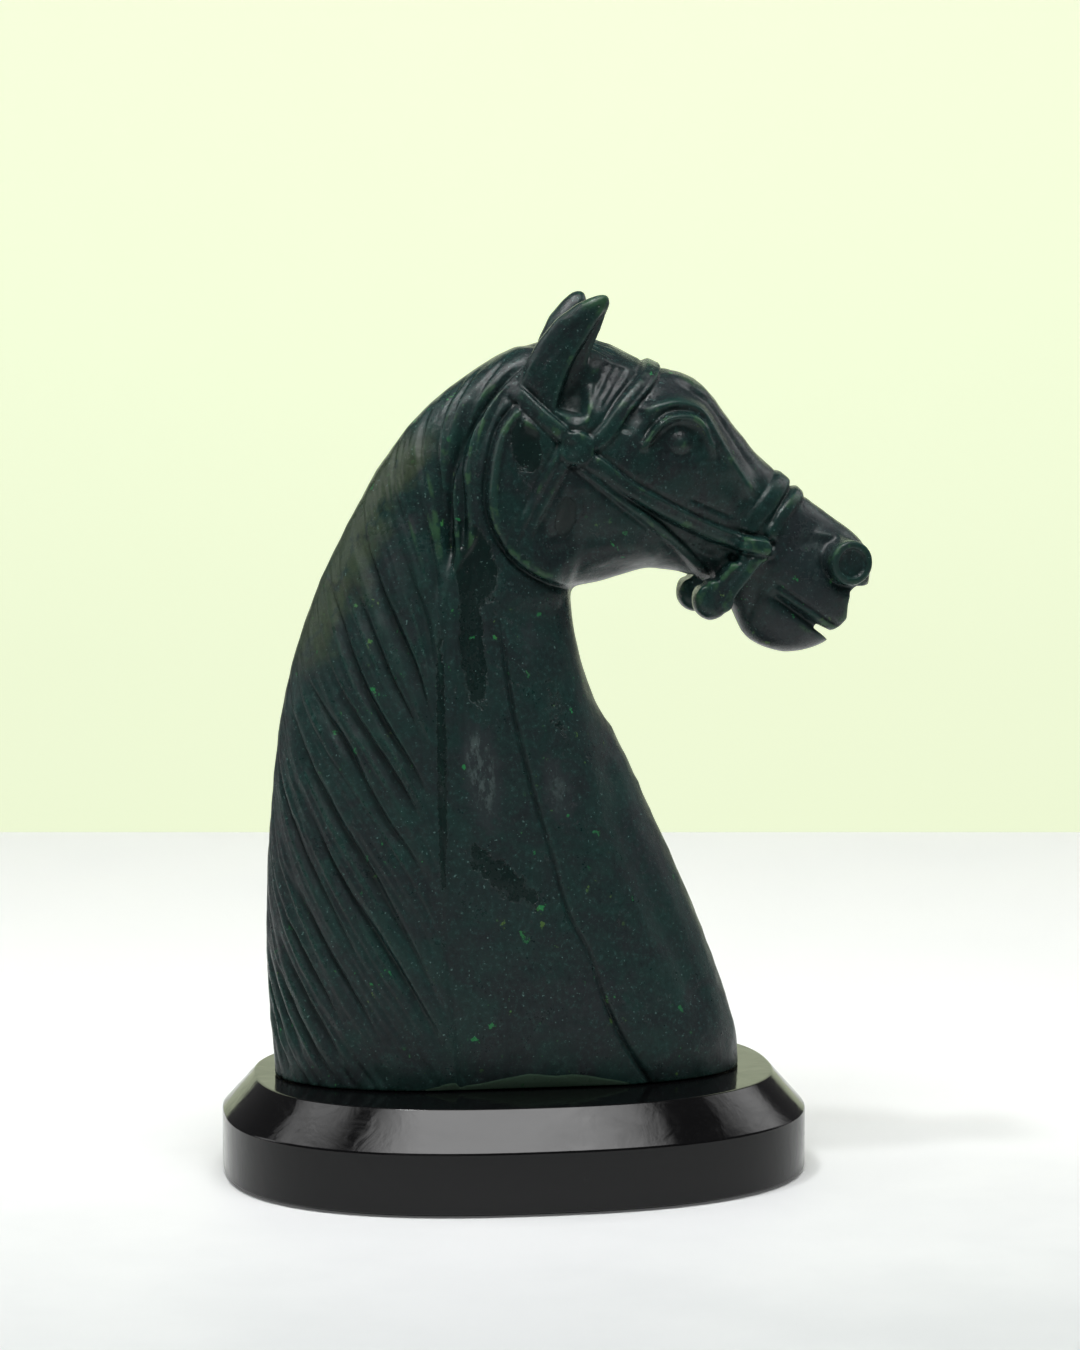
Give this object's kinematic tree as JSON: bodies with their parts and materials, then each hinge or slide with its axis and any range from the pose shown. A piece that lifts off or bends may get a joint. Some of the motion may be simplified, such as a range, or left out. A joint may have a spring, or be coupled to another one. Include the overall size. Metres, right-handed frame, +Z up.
{
  "type": "horse head bust ornament",
  "caption": "Carved dark green stone horse-head bust with bridle, pinned and glued to a bevelled black stone plinth.",
  "frame": {"origin": "centre of the underside, where the felt pad rests on the table", "axes": "+Z up, +X towards the horse's nose, +Y towards the horse's left side"},
  "size_m": [0.1612, 0.1072, 0.216],
  "materials": {
    "jade": "polished dark green jade with brighter green flecks",
    "black_stone": "mirror-polished black stone",
    "pin_steel": "plain cut rod",
    "adhesive": "cured resin",
    "felt": "thin pressed felt"
  },
  "bodies": {
    "root": {"horse_bust": "jade", "plinth": "black_stone", "front_pin": "pin_steel", "rear_pin": "pin_steel", "adhesive_bed": "adhesive", "felt_pad": "felt"}
  },
  "joints": []
}
